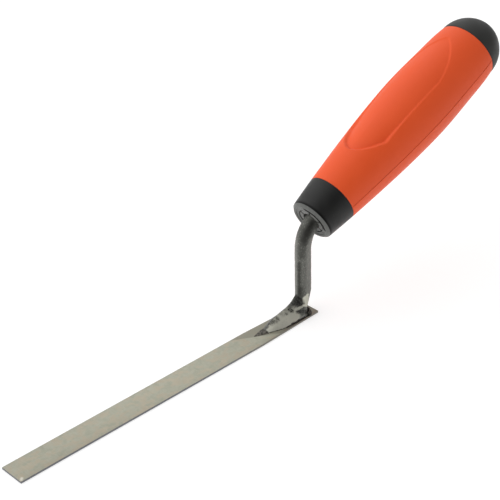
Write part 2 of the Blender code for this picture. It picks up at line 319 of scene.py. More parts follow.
def collar_face(made, colour):
    """A front face painted pale grey as a painted reflection, with painted shade on its upper left and a
    painted dark band on the side behind it.
    """
    depth = made.along(ALONG, HANDLE_FRONT)
    front = made.fade(depth, *COLLAR_FACE_END, 1.0, 0.0)
    # Painted reflection: the front face and rim are painted pale grey for the brighter reflection of a
    # glossier finish.
    face_light_and_shade = made.mix(made.noise(800.0, detail=4.0), (0.085, 0.088, 0.083), (0.150, 0.154, 0.146))
    # Painted shade: a near-black band on the collar's side just behind its rim, which is also made less
    # glossy.
    painted_dark_band = made.fade(depth, *COLLAR_PAINTED_SHADE_BAND, 0.7, 0.0)
    painted_dark_band = made.math("MULTIPLY", painted_dark_band, made.math("SUBTRACT", 1.0, front))
    colour = made.mix(painted_dark_band, colour, (0.004, 0.004, 0.004))
    # Painted shade: a near-black arc in the face's recess on its upper left, where shade falls behind the
    # rim.
    for turn in FACE_SHADE_STARTS:
        ends = [math.radians(turn), math.radians(turn + FACE_SHADE_STEP)]
        start, end = [handle_matrix(RECESS_FLOOR, a, FACE_SHADE_RADIUS).translation for a in ends]
        painted_shade = made.near_line(start, end, *FACE_SHADE_WIDTH)
        face_light_and_shade = made.mix(painted_shade, face_light_and_shade, (0.006, 0.006, 0.005))
        painted_dark_band = made.math("MAXIMUM", painted_dark_band, painted_shade)
    made.plug(made.fade(painted_dark_band, 0.0, 1.0, 0.33, 0.03), made.bsdf.inputs["Specular IOR Level"])
    return made.mix(front, colour, face_light_and_shade)


def grey_liner():
    """The unpainted grey moulding inside the collar's mouth, clouded with dust."""
    made = Shader("grey_liner", roughness=0.5)
    cloud = made.noise(900.0, detail=4.0)
    colour = made.mix(cloud, (0.09, 0.092, 0.088), (0.20, 0.20, 0.19))
    normal = made.bump(made.noise(2600.0), 0.2, 0.05 * MM)
    return made.finish(colour, made.fade(cloud, 0.3, 0.7, 0.42, 0.6), normal)


# ---------------------------------------------------------------- steel and weld materials
TIP_NICK = (Vector((166.2, 4.9, 1.0)) * MM, Vector((166.9, 5.6, 1.0)) * MM)
TIP_DULLED = (60.0 * MM, 168.0 * MM)
HEEL_TO_TIP_EDGE = (25.0 * MM, 60.0 * MM)
STAIN_EDGE = Vector((32.0 * MM, -0.8 * MM, 0.0))
STAIN_SIDE = (-5.7, -9.6, 0.0)
STAIN_END = Vector((41.5 * MM, 0.0, 0.0))
HEAT_REACH = (-2.0 * MM, 24.0 * MM)


def ground_steel():
    """Strip steel with a blotchy warm and green-grey tarnish, faint grinding lines and dark raw edges."""
    made = Shader("ground_steel", roughness=0.42, metallic=1.0)
    shifted = made.stretched((1.0, 1.0, 1.0), offset=(0.013, 0.021, 0.0))
    blotch = made.noise(230.0, detail=5.0, roughness=0.62, place=shifted, distortion=0.6)
    tint = made.noise(330.0, detail=3.0, roughness=0.55, place=made.stretched((0.7, 1.0, 1.0)))
    along_lines = made.stretched((2.2, 0.2, 1.0), (0, 0, 0.5))
    lines = made.noise(900.0, detail=5.0, roughness=0.7, place=along_lines)
    cross = made.noise(1300.0, detail=3.0, place=made.stretched((0.25, 2.2, 1.0), (0, 0, 0.35)))
    colour = made.mix(made.fade(blotch, 0.34, 0.66), (0.330, 0.333, 0.262), (0.430, 0.424, 0.343))
    colour = made.mix(made.fade(tint, 0.44, 0.62, 0.0, 0.8), colour, (0.430, 0.382, 0.292))
    colour = made.mix(made.fade(lines, 0.40, 0.75, 0.0, 0.20), colour, (0.52, 0.52, 0.48))
    colour = made.mix(made.fade(cross, 0.55, 0.8, 0.0, 0.30), colour, (0.24, 0.235, 0.19))
    dulled = made.fade(made.axis("X"), *TIP_DULLED, 0.0, 0.17)
    colour = made.mix(dulled, colour, (0.06, 0.055, 0.05))
    colour = foot_stain(made, colour, blotch)
    nick = made.near_line(*TIP_NICK, 0.1 * MM, 1.1 * MM)
    colour = made.mix(made.scaled(nick, 0.6), colour, (0.75, 0.72, 0.64))
    above = made.facing((0.0, 0.0, 1.0), 0.25, 0.75)
    under = made.facing((0.0, 0.0, -1.0), 0.25, 0.75)
    heel_to_tip = made.fade(made.axis("X"), *HEEL_TO_TIP_EDGE)
    raw = made.mix(heel_to_tip, (0.22, 0.205, 0.18), (0.175, 0.175, 0.19))
    colour = made.mix(made.math("MAXIMUM", above, under), raw, colour)
    rough = made.fade(blotch, 0.3, 0.7, 0.36, 0.50)
    height = made.math("ADD", made.scaled(lines, 0.7), made.scaled(cross, 0.5))
    return made.finish(colour, rough, made.bump(height, 0.12, 0.04 * MM))


def foot_stain(made, colour, blotch):
    """Heat-darkened skin: a wedge beyond the foot on the right side, and the strip round the foot."""
    wobble = made.wobble(blotch, 2.4 * MM)
    wedge = made.math("ADD", made.along(STAIN_SIDE, STAIN_EDGE), made.scaled(wobble, 0.15))
    wedge = made.fade(wedge, -0.1 * MM, 0.25 * MM)
    behind = made.fade(made.along((-1.0, 0.0, 0.0), STAIN_END), -0.5 * MM, 1.0 * MM)
    wedge = made.math("MULTIPLY", wedge, behind)
    colour = made.mix(made.scaled(wedge, 0.72), colour, (0.245, 0.233, 0.185))
    heat = made.fade(made.math("ADD", made.axis("X"), wobble), *HEAT_REACH, 0.62, 0.0)
    return made.mix(heat, colour, (0.150, 0.147, 0.122))


def spots(*rows):
    """Marks given in millimetres, turned into metres: two end points, a radius and maybe an amount."""
    return [(Vector(row[0]) * MM, Vector(row[1]) * MM, row[2] * MM, *row[3:]) for row in rows]


# Dark scale streaks on the rod. Where they reach up to the collar's mouth they are partly painted shade.
SCALE_AND_SHADE_STREAKS = spots(
    ((3.6, 1.1, 12.5), (3.65, 1.0, 29.0), 1.8, 0.75),
    ((3.4, 1.8, 5.0), (3.5, 1.5, 15.0), 3.6, 0.62),
    ((3.2, 2.0, 33.0), (1.7, 2.5, 41.2), 3.4, 0.6),
    ((1.7, 2.5, 41.2), (-0.1, 2.6, 44.7), 4.2, 0.9),
    ((-0.1, 2.6, 44.7), (-3.0, 2.5, 47.4), 5.0, 1.0),
    ((0.6, -2.5, 42.5), (-5.0, -2.0, 49.0), 4.0, 0.45),
)
GROUND_MARKS = spots(
    ((1.6, 3.4, 7.0), (1.6, 3.4, 10.0), 1.9),
    ((1.6, 3.4, 9.5), (0.8, 3.7, 11.8), 0.9),
    ((8.0, 1.9, 5.3), (2.4, 3.2, 6.4), 0.8),
    ((-0.9, 2.0, 2.6), (-1.2, 2.2, 2.7), 0.7),
)
# Dark burnt patches on the forging. The last two rows, thin lines low along the foot's near base, are
# painted shade in the gap under its edge.
BURNT_AND_SHADE_MARKS = spots(
    ((4.1, 0.3, 9.8), (3.4, 2.0, 7.9), 2.5, 1.0),
    ((5.4, 0.4, 8.2), (13.5, -0.3, 5.2), 2.3, 0.4),
    ((4.6, 0.8, 8.6), (8.4, 0.7, 6.5), 1.9, 0.7),
    ((9.5, 0.7, 6.0), (8.8, 1.4, 5.4), 1.3, 1.0),
    ((12.2, 0.5, 5.4), (12.0, 1.0, 5.1), 0.8, 0.8),
    ((6.9, 2.8, 4.5), (2.8, 4.0, 3.4), 1.3, 0.85),
    ((2.4, 4.3, 2.6), (-0.6, 3.4, 2.8), 1.4, 0.9),
    ((17.6, 0.2, 4.6), (20.6, -0.4, 3.7), 2.0, 0.8),
    ((20.6, -0.4, 3.7), (23.6, -0.6, 2.3), 0.9, 0.7),
    ((25.0, -0.3, 1.8), (24.8, 0.6, 1.5), 0.9, 0.9),
    ((20.9, 3.4, 1.1), (18.4, 4.0, 1.1), 0.4, 0.9),
    ((12.4, 4.6, 1.3), (4.0, 4.8, 1.6), 0.6, 1.0),
)
ROD_LEFT_PAINTED_SHEEN = (0.93, -0.37, 0.0)
ROD_RIGHT_PAINTED_SHEEN = (-0.10, 0.995, 0.0)
GROUND_SLOPE = (0.17, 0.66, 0.73)
GROUND_TOP = (6.2 * MM, 8.0 * MM)
GROUND_HEEL = (5.4 * MM, 7.2 * MM)


def forged_scale():
    """The forging: dark mill scale, ground bright on the foot's left slope and at the heel."""
    made = Shader("forged_scale", roughness=0.5, metallic=0.6)
    cloud = made.noise(260.0, detail=5.0, roughness=0.62)
    speck = made.noise(1500.0, detail=3.0, roughness=0.65)
    wobble = made.wobble(made.noise(750.0, detail=4.0), 2.6 * MM)
    colour = mill_scale(made, cloud, speck, made.scaled(wobble, 0.5))
    ground = made.mix(cloud, (0.47, 0.465, 0.395), (0.64, 0.63, 0.54))
    ground = made.mix(made.fade(speck, 0.5, 0.8, 0.0, 0.35), ground, (0.33, 0.33, 0.27))
    slope = made.facing(GROUND_SLOPE, 0.80, 0.93)
    below = made.fade(made.math("ADD", made.axis("Z"), wobble), *GROUND_TOP, 1.0, 0.0)
    ahead = made.fade(made.math("ADD", made.axis("X"), wobble), *GROUND_HEEL)
    face = made.math("MULTIPLY", made.math("MULTIPLY", slope, below), ahead)
    colour = made.mix(face, colour, ground)
    crisp = made.scaled(wobble, 0.35)
    for start, end, radius in GROUND_MARKS:
        colour = made.mix(made.near_line(start, end, 0.55 * radius, radius, crisp), colour, ground)
    patchy = made.fade(made.noise(850.0, detail=5.0, roughness=0.7), 0.36, 0.62, 0.25, 1.0)
    ragged = made.scaled(wobble, 0.6)
    # Burnt patches, and painted shade under the foot's near edge.
    for start, end, radius, amount in BURNT_AND_SHADE_MARKS:
        band = made.near_line(start, end, 0.35 * radius, radius, ragged)
        burn_and_shade = made.scaled(made.math("MULTIPLY", band, patchy), amount)
        colour = made.mix(burn_and_shade, colour, (0.011, 0.0105, 0.0085))
    rough = made.fade(cloud, 0.3, 0.7, 0.42, 0.60)
    height = made.math("ADD", speck, made.scaled(cloud, 1.4))
    return made.finish(colour, rough, made.bump(height, 0.35, 0.08 * MM))


def mill_scale(made, cloud, speck, soft):
    """Dark scale, with a painted sheen that makes the rod's two sides paler, pale specks, fine streaks and
    soft dark areas that are partly painted shade near the collar.
    """
    streak = made.noise(620.0, detail=4.0, place=made.stretched((1.0, 1.0, 0.16)))
    colour = made.mix(cloud, (0.095, 0.096, 0.086), (0.165, 0.167, 0.150))
    # Painted sheen: the rod's sides that face these two ways are painted paler.
    left = made.facing(ROD_LEFT_PAINTED_SHEEN, 0.86, 0.98)
    right = made.facing(ROD_RIGHT_PAINTED_SHEEN, 0.80, 0.97)
    colour = made.mix(made.scaled(made.math("MAXIMUM", left, right), 0.45), colour, (0.27, 0.27, 0.25))
    colour = made.mix(made.fade(speck, 0.52, 0.68, 0.0, 0.7), colour, (0.30, 0.30, 0.265))
    colour = made.mix(made.fade(streak, 0.52, 0.75, 0.0, 0.45), colour, (0.045, 0.045, 0.040))
    # Dark scale, and painted shade near the collar's mouth.
    for start, end, radius, amount in SCALE_AND_SHADE_STREAKS:
        band = made.near_line(start, end, 0.0, radius, soft)
        colour = made.mix(made.scaled(band, amount), colour, (0.030, 0.030, 0.026))
    return colour


def burnt_weld(name="burnt_weld", lightness=1.0):
    """Weld metal left dark and crusty, with a few bright metal beads. Lightness scales its crust."""
    made = Shader(name, roughness=0.55, metallic=0.6)
    crust = made.noise(900.0, detail=5.0, roughness=0.7)
    bead = made.noise(520.0, detail=3.0)
    dark = tuple(lightness * value for value in (0.012, 0.011, 0.009))
    pale = tuple(lightness * value for value in (0.085, 0.078, 0.066))
    colour = made.mix(made.fade(crust, 0.35, 0.65), dark, pale)
    colour = made.mix(made.fade(bead, 0.60, 0.74, 0.0, 0.8), colour, (0.34, 0.33, 0.30))
    rough = made.fade(crust, 0.3, 0.7, 0.42, 0.7)
    return made.finish(colour, rough, made.bump(crust, 0.8, 0.15 * MM))


# ---------------------------------------------------------------- mesh building
def loose_object(name, mesh):
    """Links a mesh into the scene as a plain object."""
    made = bpy.data.objects.new(name, mesh)
    bpy.context.scene.collection.objects.link(made)
    return made


def add_piece(name, mesh, material, node):
    """Puts a finished mesh in the scene as the piece that stands for a CAD node."""
    mesh.materials.append(material)
    piece = loose_object(name, mesh)
    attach(piece, "root")
    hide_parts(node)


def mesh_from_bmesh(name, bm):
    """Writes a bmesh out as a new mesh and frees it."""
    mesh = bpy.data.meshes.new(name)
    bm.to_mesh(mesh)
    bm.free()
    return mesh


def mesh_from_grid(name, grid):
    """A mesh over a grid of points shaped (rows, columns, 3), closed up both ways."""
    rows, columns = grid.shape[:2]
    lower = np.arange(rows * columns).reshape(rows, columns)
    upper = np.roll(lower, -1, axis=0)
    right = np.roll(lower, -1, axis=1)
    upper_right = np.roll(upper, -1, axis=1)
    quads = np.stack([lower, right, upper_right, upper], axis=-1)
    mesh = bpy.data.meshes.new(name)
    mesh.from_pydata(grid.reshape(-1, 3).tolist(), [], quads.reshape(-1, 4).tolist())
    return mesh


def tidy_normals(mesh, sharp_degrees=40.0):
    """Turns the faces outward and shades them smooth, but for edges past the angle."""
    bm = bmesh.new()
    bm.from_mesh(mesh)
    bmesh.ops.recalc_face_normals(bm, faces=bm.faces)
    bm.to_mesh(mesh)
    bm.free()
    mesh.shade_smooth()
    mesh.set_sharp_from_angle(angle=math.radians(sharp_degrees))
    return mesh


FILLET_STEPS = 5


def filleted(corners):
    """A closed outline of (s, radius, fillet) corners, as points with each corner rounded."""
    points = []
    count = len(corners)
    for i in range(count):
        here = Vector(corners[i][:2])
        fillet = corners[i][2]
        if fillet <= 0.0:
            points.append(here)
            continue
        before = (Vector(corners[i - 1][:2]) - here).normalized()
        after = (Vector(corners[(i + 1) % count][:2]) - here).normalized()
        half = math.acos(max(-1.0, min(1.0, before.dot(after)))) / 2
        reach = fillet / math.tan(half)
        centre = here + (before + after).normalized() * (fillet / math.sin(half))
        start = here + before * reach - centre
        end = here + after * reach - centre
        sweep = start.angle_signed(end)
        for turn in steps(0.0, sweep, FILLET_STEPS):
            points.append(centre + Matrix.Rotation(-turn, 2) @ start)
    return points


def turned_mesh(name, outline, columns=180):
    """A closed (s, radius) outline, turned about the handle's axis. It must not touch the axis."""
    s = np.array([p[0] for p in outline])[:, None]
    radius = np.array([p[1] for p in outline])[:, None]
    angles = np.linspace(0.0, 2.0 * math.pi, columns, endpoint=False)[None, :]
    return mesh_from_grid(name, handle_points(s, angles, radius))


def apply_modifiers(piece):
    """Applies a piece's modifiers to its mesh."""
    graph = bpy.context.evaluated_depsgraph_get()
    mesh = bpy.data.meshes.new_from_object(piece.evaluated_get(graph))
    piece.modifiers.clear()
    piece.data = mesh


def add_boolean(piece, operation, other):
    modifier = piece.modifiers.new(operation, "BOOLEAN")
    modifier.operation = operation
    modifier.solver = "EXACT"
    modifier.object = other


def discard(piece):
    """Takes a loose object out of the scene. Its mesh stays."""
    bpy.data.objects.remove(piece, do_unlink=True)


def one_skin(name, blank, voxel, passes):
    """Fuses a blank into one closed skin, softens it and hands back its mesh."""
    remesh = blank.modifiers.new("skin", "REMESH")
    remesh.mode = "VOXEL"
    remesh.voxel_size = voxel
    smooth = blank.modifiers.new("blend", "SMOOTH")
    smooth.factor = 0.5
    smooth.iterations = passes
    apply_modifiers(blank)
    mesh = blank.data
    mesh.name = name
    discard(blank)
    return mesh


# ---------------------------------------------------------------- grip sleeve
PARTING_DEPTH = 0.26 * MM
PARTING_HALF_WIDTH = 0.20 * MM
PARTING_RIDGE = 0.22 * MM
PARTING_RIDGE_ANGLE = math.radians(9.0)
SEAM_DEPTH = 0.22 * MM
SEAM_WIDTH = 0.32 * MM
MANDREL_FRONT_RADIUS = 9.8 * MM
MANDREL_REAR_RADIUS = 12.2 * MM
# The left half of the thumb panel's outline, as (mm along the handle, degrees round from its top).
PANEL_OUTLINE = (
    (33.8, 0.0),
    (34.6, 11.0),
    (36.6, 22.0),
    (40.2, 33.0),
    (46.6, 45.8),
    (55.0, 43.8),
    (66.0, 42.6),
    (76.0, 42.6),
    (86.8, 43.6),
    (92.0, 39.8),
    (98.0, 33.0),
    (103.0, 24.0),
    (107.2, 13.0),
    (109.6, 4.0),
    (110.2, 0.0),
)
PANEL_CORNER_MM = 46.7
PANEL_REST_DEPTH_MM = 0.34
PANEL_FRONT_DEPTH_MM = 1.25
PANEL_FRONT_FADE_MM = 9.0
PANEL_WALL_FRONT_MM = 1.5
PANEL_WALL_SIDE_MM = 0.8
SLEEVE_ROWS = 290
SLEEVE_INNER_ROWS = 24
SLEEVE_END_ROWS = 7
SLEEVE_END = 0.6 * MM
SLEEVE_COLUMNS = 300
PARTING_ANGLES = (math.pi / 2, 1.5 * math.pi)
PARTING_COLUMNS = 17
PARTING_SPREAD = math.radians(2.2)
PARTING_CLEARANCE = math.radians(2.6)


def panel_distances(s_mm, arc_mm):
    """Distances in mm from the thumb panel's outline (positive inside it) and from its front edge."""
    left = [(s, math.radians(a) * float(handle_radius(s * MM)) / MM) for s, a in PANEL_OUTLINE]
    loop = left + [(s, -v) for s, v in left[-2:0:-1]]
    best = np.full(s_mm.shape, 1e9)
    front = np.full(s_mm.shape, 1e9)
    inside = np.zeros(s_mm.shape, bool)
    for (s0, v0), (s1, v1) in zip(loop, loop[1:] + loop[:1]):
        ds, dv = s1 - s0, v1 - v0
        t = np.clip(((s_mm - s0) * ds + (arc_mm - v0) * dv) / (ds * ds + dv * dv), 0.0, 1.0)
        gap = np.hypot(s_mm - s0 - t * ds, arc_mm - v0 - t * dv)
        best = np.minimum(best, gap)
        if max(s0, s1) < PANEL_CORNER_MM:
            front = np.minimum(front, gap)
        crosses = (v0 > arc_mm) != (v1 > arc_mm)
        with np.errstate(divide="ignore", invalid="ignore"):
            at = s0 + (arc_mm - v0) * ds / dv
        inside ^= crosses & (s_mm < at)
    return np.where(inside, best, -best), front


def grip_radius(s, angle):
    """The sleeve's outer radius: the outline, less the thumb panel, parting lines and end seams."""
    radius = handle_radius(s)
    s_mm = s / MM
    wrapped = (angle + math.pi) % (2.0 * math.pi) - math.pi
    distance, front = panel_distances(s_mm, wrapped * radius / MM)
    frontness = np.exp(-front / PANEL_FRONT_FADE_MM)
    wall = PANEL_WALL_SIDE_MM + (PANEL_WALL_FRONT_MM - PANEL_WALL_SIDE_MM) * frontness
    depth = PANEL_REST_DEPTH_MM + PANEL_FRONT_DEPTH_MM * frontness
    panel = depth * smoothstep(-0.2 * wall, wall, distance)
    from_parting = np.abs(np.abs(wrapped) - math.pi / 2)
    ridge = PARTING_RIDGE * np.exp(-from_parting / PARTING_RIDGE_ANGLE)
    groove = PARTING_DEPTH * np.exp(-((from_parting * radius / PARTING_HALF_WIDTH) ** 2))
    ends = np.minimum(s - COLLAR_LENGTH, CAP_START - s)
    seam = SEAM_DEPTH * (1.0 - smoothstep(0.0, SEAM_WIDTH, ends))
    return radius - panel * MM + ridge - groove - seam


def grip_columns():
    """Angles round the sleeve, closer together at the two parting lines."""
    even = np.linspace(0.0, 2.0 * math.pi, SLEEVE_COLUMNS, endpoint=False)
    spread = np.linspace(-PARTING_SPREAD, PARTING_SPREAD, PARTING_COLUMNS)
    keep = np.ones(len(even), bool)
    for side in PARTING_ANGLES:
        keep &= np.abs(even - side) > PARTING_CLEARANCE
    return np.sort(np.concatenate([even[keep]] + [side + spread for side in PARTING_ANGLES]))


def build_grip_sleeve(material):
    """The orange tube: a shaped outside, and a plain taper inside that fits the mandrel."""
    rows = np.concatenate(
        [
            np.linspace(COLLAR_LENGTH, COLLAR_LENGTH + SLEEVE_END, SLEEVE_END_ROWS)[:-1],
            np.linspace(COLLAR_LENGTH + SLEEVE_END, CAP_START - SLEEVE_END, SLEEVE_ROWS),
            np.linspace(CAP_START - SLEEVE_END, CAP_START, SLEEVE_END_ROWS)[1:],
        ]
    )
    angles = grip_columns()[None, :]
    row_grid, angle_grid = np.broadcast_arrays(rows[:, None], angles)
    outer = handle_points(row_grid, angle_grid, grip_radius(row_grid, angle_grid))
    inner_rows = np.linspace(CAP_START, COLLAR_LENGTH, SLEEVE_INNER_ROWS)[:, None]
    share = (inner_rows - COLLAR_LENGTH) / (CAP_START - COLLAR_LENGTH)
    inner_radius = MANDREL_FRONT_RADIUS + share * (MANDREL_REAR_RADIUS - MANDREL_FRONT_RADIUS)
    inner = handle_points(inner_rows, angles, inner_radius)
    mesh = mesh_from_grid("grip", np.concatenate([outer, inner]))
    add_piece("grip", tidy_normals(mesh, 60.0), material, "grip_sleeve")


# ---------------------------------------------------------------- collar, liner and butt cap
FACE_START = -0.8 * MM
FACE_RADIUS = 9.65 * MM
RIM_END = 0.3 * MM
RIM_ROUND = 0.7 * MM
COLLAR_SIDE = (2.4 * MM, COLLAR_LENGTH - 0.6 * MM)
RECESS_RADIUS = 8.3 * MM
MOUTH_RADIUS = 6.75 * MM
MOUTH_DEPTH = 14.3 * MM
BORE_RADIUS = 4.6 * MM
LINER_RADIUS = 6.55 * MM
LINER_BORE = 4.35 * MM
LINER_FRONT = -0.25 * MM
LINER_SLOTS = 6
LINER_SLOT_ANGLE = math.radians(72.0)
LINER_SLOT_WIDTH = 0.95 * MM
LINER_SLOT_LENGTH = 9.0 * MM
SPIGOT_RADIUS = 8.0 * MM
SPIGOT_LENGTH = 14.0 * MM
SPIGOT_START = CAP_START - SPIGOT_LENGTH
SPIGOT_CHAMFER = 0.8 * MM
# The clearance at the collar and mandrel's hidden faces, and the round of the collar's rear edge.
CORE_CLEARANCE = 0.15 * MM
CAP_RIM = ((0.0, 0.35 * MM), (0.06 * MM, 0.15 * MM), (0.2 * MM, 0.03 * MM))


def build_collar(material):
    """The core: its collar shows, and its mandrel runs on under the sleeve."""
    corners = [
        (RECESS_FLOOR, MOUTH_RADIUS, 0.25 * MM),
        (RECESS_FLOOR, RECESS_RADIUS, 0.15 * MM),
        (FACE_START, RECESS_RADIUS + 0.2 * MM, 0.2 * MM),
        (FACE_START, FACE_RADIUS, 0.3 * MM),
        (RIM_END, float(handle_radius(RIM_END)) - 0.05 * MM, RIM_ROUND),
    ]
    corners += [(s, float(handle_radius(s)), 0.0) for s in steps(*COLLAR_SIDE, 10)]
    corners += [
        (COLLAR_LENGTH, float(handle_radius(COLLAR_LENGTH)), CORE_CLEARANCE),
        (COLLAR_LENGTH, MANDREL_FRONT_RADIUS - CORE_CLEARANCE, 0.0),
        (CAP_START, MANDREL_REAR_RADIUS - CORE_CLEARANCE, 0.0),
        (CAP_START, SPIGOT_RADIUS + CORE_CLEARANCE, 0.0),
        (SPIGOT_START - CORE_CLEARANCE, SPIGOT_RADIUS + CORE_CLEARANCE, 0.0),
        (SPIGOT_START - CORE_CLEARANCE, BORE_RADIUS, 0.0),
        (MOUTH_DEPTH, BORE_RADIUS, 0.0),
        (MOUTH_DEPTH, MOUTH_RADIUS, 0.0),
    ]
    mesh = turned_mesh("collar", filleted(corners))
    add_piece("collar", tidy_normals(mesh), material, "handle_core")


def box_mesh(name, size, matrix):
    """A block of the given size, put in place by a matrix."""
    bm = bmesh.new()
    bmesh.ops.create_cube(bm, size=1.0)
    bmesh.ops.scale(bm, vec=size, verts=bm.verts)
    bmesh.ops.transform(bm, matrix=matrix, verts=bm.verts)
    return mesh_from_bmesh(name, bm)


def build_liner(material):
    """A sleeve round the tang, cut into fingers by slots from its front."""
    corners = [
        (LINER_FRONT, LINER_BORE, 0.25 * MM),
        (LINER_FRONT, LINER_RADIUS, 0.35 * MM),
        (MOUTH_DEPTH, LINER_RADIUS, 0.0),
        (MOUTH_DEPTH, LINER_BORE, 0.0),
    ]
    liner = loose_object("liner_blank", tidy_normals(turned_mesh("liner", filleted(corners), columns=120)))
    size = (2.6 * (LINER_RADIUS - LINER_BORE), LINER_SLOT_WIDTH, LINER_SLOT_LENGTH)
    cutters = []
    for i in range(LINER_SLOTS):
        angle = LINER_SLOT_ANGLE + 2.0 * math.pi * i / LINER_SLOTS
        where = handle_matrix(LINER_FRONT, angle, LINER_RADIUS)
        cutters.append(loose_object("slot", box_mesh("slot", size, where)))
        add_boolean(liner, "DIFFERENCE", cutters[-1])
    apply_modifiers(liner)
    mesh = liner.data
    for loose in cutters + [liner]:
        discard(loose)
    add_piece("liner", tidy_normals(mesh), material, "tang_socket")


def build_butt_cap(material):
    """The dome and its spigot, closed at both ends on the axis."""
    rim = float(handle_radius(CAP_START))
    outline = [
        (SPIGOT_START, 0.0),
        (SPIGOT_START, SPIGOT_RADIUS - SPIGOT_CHAMFER),
        (SPIGOT_START + SPIGOT_CHAMFER, SPIGOT_RADIUS),
        (CAP_START, SPIGOT_RADIUS),
    ]
    outline += [(CAP_START + rise, rim - inset) for rise, inset in CAP_RIM]
    for turn in steps(0.03, math.pi / 2, 40):
        s = CAP_START + CAP_LENGTH * math.sin(turn)
        outline.append((s, rim * max(0.0, math.cos(turn)) ** CAP_TAPER_POWER))
    outline[-1] = (outline[-1][0], 0.0)
    bm = bmesh.new()
    verts = [bm.verts.new((radius, 0.0, s)) for s, radius in outline]
    for first, second in zip(verts, verts[1:]):
        bm.edges.new((first, second))
    line = bm.verts[:] + bm.edges[:]
    circle = {"axis": (0, 0, 1), "cent": (0, 0, 0), "angle": 2.0 * math.pi, "steps": 160}
    bmesh.ops.spin(bm, geom=line, use_merge=True, **circle)
    bmesh.ops.remove_doubles(bm, verts=bm.verts, dist=1e-7)
    bmesh.ops.transform(bm, matrix=handle_matrix(0.0, 0.0), verts=bm.verts)
    mesh = mesh_from_bmesh("cap", bm)
    add_piece("cap", tidy_normals(mesh), material, "butt_cap")


# ---------------------------------------------------------------- blade
BLADE_HEEL_HALF_WIDTH = 5.2 * MM
BLADE_TAPER_X = 33.0 * MM
BLADE_CORNER_ROUND = 0.14 * MM
BLADE_EDGE_ROUND = 0.1 * MM


def build_blade(material):
    """The strip: drawn in towards its heel, with crisp ground edges."""
    taper = (BLADE_TAPER_X, HALF_WIDTH)
    left = [(BLADE_HIGH.x, HALF_WIDTH), taper, (BLADE_LOW.x, BLADE_HEEL_HALF_WIDTH)]
    right = [(x, -y) for x, y in reversed(left)]
    bm = bmesh.new()
    bottom = bm.faces.new([bm.verts.new((x, y, BLADE_LOW.z)) for x, y in left + right])
    raised = bmesh.ops.extrude_face_region(bm, geom=[bottom])
    top = [v for v in raised["geom"] if isinstance(v, bmesh.types.BMVert)]
    bmesh.ops.translate(bm, vec=(0.0, 0.0, BLADE_HIGH.z - BLADE_LOW.z), verts=top)
    bmesh.ops.recalc_face_normals(bm, faces=bm.faces)
    upright = [e for e in bm.edges if abs(e.verts[0].co.z - e.verts[1].co.z) > 0.5 * BLADE_TOP]
    corners = [e for e in upright if abs(e.verts[0].co.x - BLADE_TAPER_X) > 1.0 * MM]
    rounding = {"profile": 0.5, "affect": "EDGES"}
    bmesh.ops.bevel(bm, geom=corners, offset=BLADE_CORNER_ROUND, segments=4, **rounding)
    level = [e for e in bm.edges if abs(e.verts[0].co.z - e.verts[1].co.z) < 1e-6]
    bmesh.ops.bevel(bm, geom=level, offset=BLADE_EDGE_ROUND, segments=2, **rounding)
    mesh = mesh_from_bmesh("strip_blade", bm)
    add_piece("strip_blade", tidy_normals(mesh, 30.0), material, "blade")


# ---------------------------------------------------------------- tang
TANG_RADIUS = 3.83 * MM
TANG_BEND_RADIUS = 16.0 * MM
TANG_STRAIGHT_END = 30.0 * MM
TANG_TAIL_END = 78.0 * MM
TANG_TAIL_RADIUS = 2.2 * MM
HEEL_RELIEF_TOP = 11.0 * MM
HEEL_RELIEF_SLOPE = 0.25
RING_POINTS = 48
# The foot's sizes are in millimetres. Its tables are (x, value) pairs, with heights above the blade.
FOOT_RIDGE = -1.0
FOOT_LENGTH = (-1.7, 25.6)
FOOT_NEAR_EDGE = (
    (-1.7, 1.0),
    (-1.1, 2.4),
    (0.4, 4.0),
    (3.4, 4.75),
    (10.0, 4.75),
    (16.0, 4.45),
    (18.5, 4.1),
    (21.0, 3.4),
    (23.5, 2.5),
    (25.6, 1.6),
)
FOOT_FAR_EDGE = (
    (-1.7, 1.2),
    (0.4, 4.0),
    (3.2, 4.6),
    (10.2, 4.7),
    (14.6, 4.5),
    (18.9, 4.0),
    (22.0, 3.2),
    (25.6, 2.0),
)
FOOT_HEIGHT = (
    (-1.7, 3.0),
    (-1.1, 5.5),
    (0.4, 9.5),
    (2.6, 11.6),
    (4.3, 10.2),
    (6.5, 7.9),
    (9.9, 6.2),
    (14.4, 5.0),
    (17.5, 4.4),
    (19.6, 3.7),
    (22.0, 2.2),
    (24.5, 0.9),
    (25.6, 0.4),
)
FOOT_WALL = ((-1.7, 1.6), (3.0, 1.5), (8.0, 1.1), (13.0, 0.5), (16.0, 0.15), (25.6, 0.05))
FOOT_BULGE = 0.28
FOOT_FAR_POWER = 0.62
FOOT_SECTIONS = 60
FOOT_SIDE_STEPS = 12
TANG_VOXEL = 0.23 * MM
TANG_SMOOTHING = 6
FORGING_DEPTH = 0.06 * MM
HEEL_GRIND_POINT = Vector((-2.4 * MM, 2.87 * MM, 13.0 * MM))
HEEL_GRIND_NORMAL = Vector((-0.62, 0.74, -0.19)).normalized()
HEEL_GRIND_BASE = (1.5 * MM, 3.5 * MM)
HEEL_GRIND_TOP = 14.0 * MM


def ring_at(centre, outward, half_length, half_width):
    """An ellipse of points: its length runs outward and its width to the left."""
    ring = []
    for i in range(RING_POINTS):
        angle = 2.0 * math.pi * i / RING_POINTS
        along = outward * (half_length * math.cos(angle))
        ring.append(centre + along + LEFT * (half_width * math.sin(angle)))
    return ring


def lofted(name, loops):
    """A closed solid through loops that all have the same number of points."""
    bm = bmesh.new()
    rings = [[bm.verts.new(point) for point in loop] for loop in loops]
    count = len(rings[0])
    for lower, upper in zip(rings, rings[1:]):
        for i in range(count):
            j = (i + 1) % count
            bm.faces.new((lower[i], lower[j], upper[j], upper[i]))
    bm.faces.new(rings[0])
    bm.faces.new(rings[-1])
    bmesh.ops.recalc_face_normals(bm, faces=bm.faces)
    return mesh_from_bmesh(name, bm)


